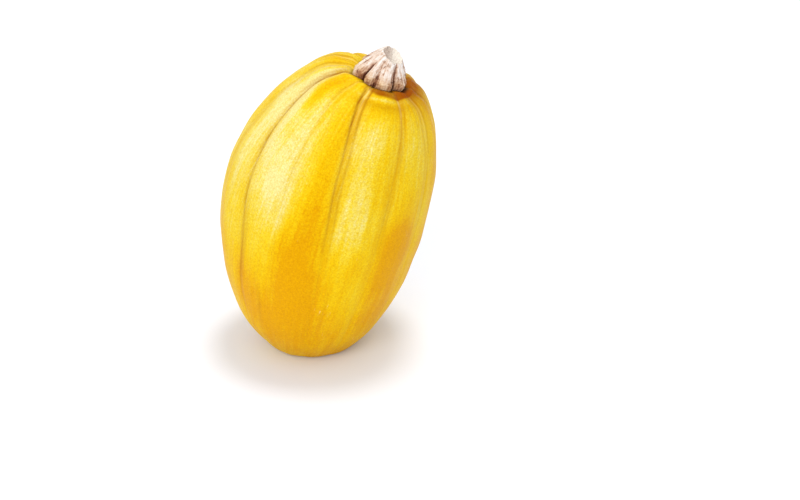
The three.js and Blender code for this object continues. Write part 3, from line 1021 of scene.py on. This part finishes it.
def makeCorkMaterial(streaksGroup, specksGroup):
    # a ramp by tone, with painted shade that darkens it in hollows, grooves and cracks, paler upwards, with
    # toes and specks; the cut mixes a pale colour with painted shade on its left and towards its middle
    material, tree, shader = newMaterial("dryCork", cork["shader"])
    place = attribute(tree, "place", True)
    flat = objectPlace(tree)
    fibres = useGroup(tree, streaksGroup, Place=place, **cork["fibres"])
    fine = useGroup(tree, streaksGroup, Place=place, **cork["fineFibres"])
    grain = noise(tree, flat, cork["grainSize"], detail=3.0, roughness=0.6)
    blotches = noise(tree, flat, cork["blotchSize"])
    groove = attribute(tree, "groove")
    creases = calculate(tree, "POWER", groove, 6.0)
    up = attribute(tree, "up")

    # painted shade: darker where the relief is low, in grooves, at their bottom and in cracks
    tone = rescale(tree, attribute(tree, "hollows"), -1.6, 1.6, 0.70, 0.22)
    for mask, amount in zip((groove, creases, attribute(tree, "cracks")), cork["shades"]):
        tone = calculate(tree, "SUBTRACT", tone, times(tree, mask, amount))
    tone = calculate(tree, "ADD", tone, times(tree, up, cork["paleUp"]))
    tone = vary(tree, tone, zip((fibres, fine, grain, blotches), cork["unevenness"]))
    colour = colourRamp(tree, tone, cork["ramp"])
    patches = rescale(tree, blotches, 0.3, 0.6, 0.35, 0.9)
    toes = times(tree, rescale(tree, up, 0.36, 0.02), patches)
    colour = blend(tree, toes, colour, cork["toe"], "MULTIPLY")
    specks = useGroup(tree, specksGroup, Place=flat, **cork["specks"])
    specks = times(tree, specks, rescale(tree, up, 0.6, 0.1))
    tint, amount = cork["speck"]
    colour = blend(tree, times(tree, specks, amount), colour, tint)

    rays = useGroup(tree, streaksGroup, Place=place, **cork["cutRays"])
    shade = times(tree, attribute(tree, "cutShade"), cork["cutShade"])
    towardsMiddle = rescale(tree, attribute(tree, "inward"), 1.0, 0.0, 0.0, cork["cutMiddleShade"])
    shade = calculate(tree, "ADD", shade, towardsMiddle)
    shade = vary(tree, shade, zip((rays, grain, blotches), cork["cutUnevenness"]))
    cutColour = blend(tree, shade, cork["cutPale"], cork["cutRing"])
    feed(tree, shader["Base Color"], blend(tree, attribute(tree, "onCut"), colour, cutColour))
    feed(tree, shader["Roughness"], rescale(tree, grain, 0.2, 0.8, *cork["roughness"]))

    pits = calculate(tree, "SUBTRACT", 1.0, specks)
    feed(tree, shader["Normal"], raised(tree, zip((grain, fibres, pits), cork["heights"])))
    return material


studio = {
    "floorSize": 60.0,
    "floorShader": {"Base Color": srgb(236, 240, 249), "Specular IOR Level": 0.1},
    "floorGrain": 0.004,
    "floorRoughness": (0.85, 0.95),
    "worldColour": (0.955, 0.975, 1.0, 1.0),
    "worldStrength": 0.83,
    "lights": [
        # name, direction towards the light, watts per square metre, how wide it looks in radians, colour
        ("key", (-0.48, -1.20, 0.78), 1.16, 0.70, (1.0, 0.960, 0.90)),
        ("top", (0.17, 0.13, 1.45), 1.24, 0.30, (1.0, 0.960, 0.90)),
    ],
    "elevation": math.radians(28),
    "distance": 1.297,
    "aim": (0.0605, 0.0063, 0.0648),
    "lens": 85.0,
}


def makeFloor():
    # a large pale square at height 0
    half = studio["floorSize"] / 2
    mesh = bpy.data.meshes.new("floor")
    corners = [(-half, -half, 0), (half, -half, 0), (half, half, 0), (-half, half, 0)]
    mesh.from_pydata(corners, [], [(0, 1, 2, 3)])
    floor = addObject("floor", mesh)
    material, tree, shader = newMaterial("paleFloor", studio["floorShader"])
    paper = noise(tree, objectPlace(tree), studio["floorGrain"], detail=3.0)
    feed(tree, shader["Roughness"], rescale(tree, paper, 0.3, 0.7, *studio["floorRoughness"]))
    mesh.materials.append(material)


def makeLights():
    # an even, faintly cool sky and two wide, warm suns that point along their own direction
    world = bpy.data.worlds.new("studioWorld")
    bpy.context.scene.world = world
    world.use_nodes = True
    background = world.node_tree.nodes["Background"]
    background.inputs["Color"].default_value = studio["worldColour"]
    background.inputs["Strength"].default_value = studio["worldStrength"]
    for name, towards, strength, width, colour in studio["lights"]:
        light = bpy.data.lights.new(name, "SUN")
        light.energy = strength
        light.angle = width
        light.color = colour
        lamp = addObject(name, light)
        lamp.location = Vector(towards)
        lamp.rotation_euler = Vector(towards).to_track_quat("Z", "Y").to_euler()


def makeCamera():
    # it looks at the aim from the front, raised by the elevation, at the distance
    camera = bpy.data.cameras.new("camera")
    camera.lens = studio["lens"]
    camera.clip_start = 0.05
    holder = addObject("camera", camera)
    back = Vector((0, -math.cos(studio["elevation"]), math.sin(studio["elevation"])))
    holder.location = Vector(studio["aim"]) + back * studio["distance"]
    holder.rotation_euler = (-back).to_track_quat("-Z", "Y").to_euler()
    bpy.context.scene.camera = holder


def finishPiece(piece, material, node):
    # its material, the body that it rides on, and the node that it replaces
    piece.data.materials.append(material)
    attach(piece, "root")
    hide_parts(node)
    print(piece.name, "made,", len(piece.data.polygons), "faces")


streaksGroup = makeStreaksGroup()
specksGroup = makeSpecksGroup()
finishPiece(makeFruit(), makeRindMaterial(streaksGroup, specksGroup), "fruit")
finishPiece(makeStem(), makeCorkMaterial(streaksGroup, specksGroup), "stem")
makeFloor()
makeLights()
makeCamera()
bpy.context.scene.view_settings.view_transform = "Standard"
print("floor, lights and camera made")
